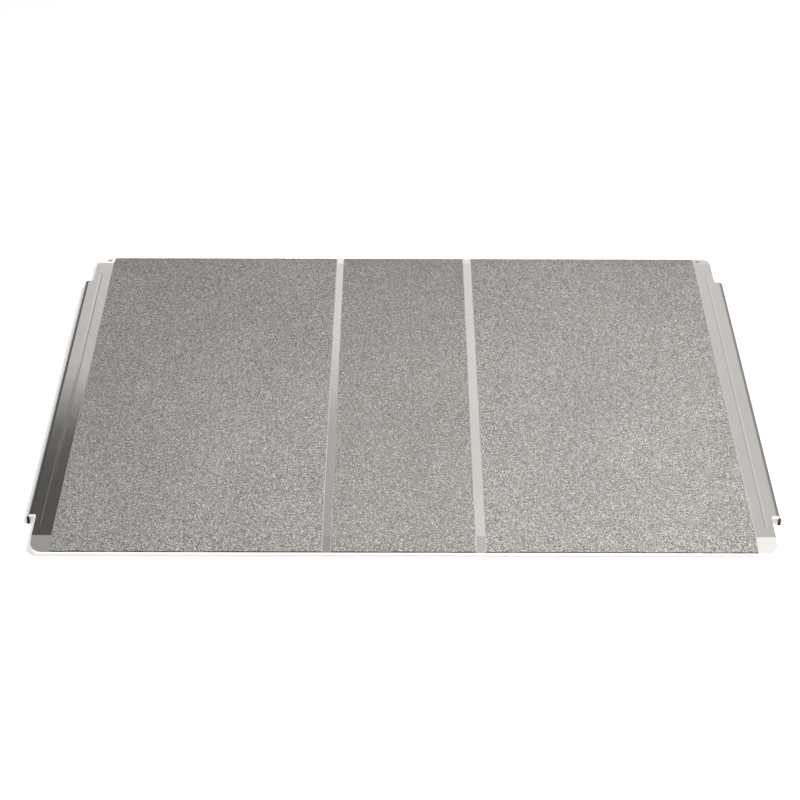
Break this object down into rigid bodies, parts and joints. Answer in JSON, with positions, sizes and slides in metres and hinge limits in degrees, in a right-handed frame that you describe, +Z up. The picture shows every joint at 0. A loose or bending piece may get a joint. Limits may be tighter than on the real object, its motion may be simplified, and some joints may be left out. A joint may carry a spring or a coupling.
{
  "type": "loading ramp",
  "caption": "Low aluminium loading ramp: a bent deck sheet with sloped end lips, turned-down side flanges, grit tapes, and fold-down support legs with swivel feet.",
  "frame": {"origin": "centre of the bounding box on the surface that the side flanges stand on", "axes": "+X across the ramp to the right, +Y from the near lip to the far lip, +Z up"},
  "size_m": [0.813, 0.61, 0.0136],
  "materials": {
    "mill_aluminium": "satin mill finish",
    "grit_tape": "grey mineral grit on film, matt and coarse",
    "rib_aluminium": "mill finish",
    "bracket_aluminium": "sawn extrusion",
    "leg_aluminium": "satin extrusion",
    "rivet_aluminium": "bright",
    "black_screw": "black oxide, oiled",
    "zinc_steel": "zinc plated",
    "foot_rubber": "matt, ribbed"
  },
  "bodies": {
    "deck": {"deck_plate": "mill_aluminium", "grit_tape_left": "grit_tape", "grit_tape_centre": "grit_tape", "grit_tape_right": "grit_tape", "stiffener_outer_left": "rib_aluminium", "stiffener_inner_left": "rib_aluminium", "stiffener_inner_right": "rib_aluminium", "stiffener_outer_right": "rib_aluminium", "leg_bracket_left": "bracket_aluminium", "bracket_rivets_left": "rivet_aluminium", "pivot_screw_left": "black_screw", "pivot_nut_left": "zinc_steel", "clamp_washers_left": "zinc_steel", "leg_bracket_right": "bracket_aluminium", "bracket_rivets_right": "rivet_aluminium", "pivot_screw_right": "black_screw", "pivot_nut_right": "zinc_steel", "clamp_washers_right": "zinc_steel"},
    "leg_left": {"leg_arm_left": "leg_aluminium", "foot_pin_left": "zinc_steel"},
    "foot_left": {"foot_plate_left": "zinc_steel", "foot_pad_left": "foot_rubber"},
    "leg_right": {"leg_arm_right": "leg_aluminium", "foot_pin_right": "zinc_steel"},
    "foot_right": {"foot_plate_right": "zinc_steel", "foot_pad_right": "foot_rubber"}
  },
  "joints": [
    {"name": "leg_fold_left", "type": "hinge", "parent": "deck", "child": "leg_left", "pos_m": [-0.315, 0.205, 0.005], "axis": [1, 0, 0], "range_deg": [0, 92]},
    {"name": "foot_swivel_left", "type": "hinge", "parent": "leg_left", "child": "foot_left", "pos_m": [-0.315, 0.095, 0.0046], "axis": [1, 0, 0], "range_deg": [0, 170]},
    {"name": "leg_fold_right", "type": "hinge", "parent": "deck", "child": "leg_right", "pos_m": [0.315, 0.205, 0.005], "axis": [1, 0, 0], "range_deg": [0, 92]},
    {"name": "foot_swivel_right", "type": "hinge", "parent": "leg_right", "child": "foot_right", "pos_m": [0.315, 0.095, 0.0046], "axis": [1, 0, 0], "range_deg": [0, 170]}
  ]
}
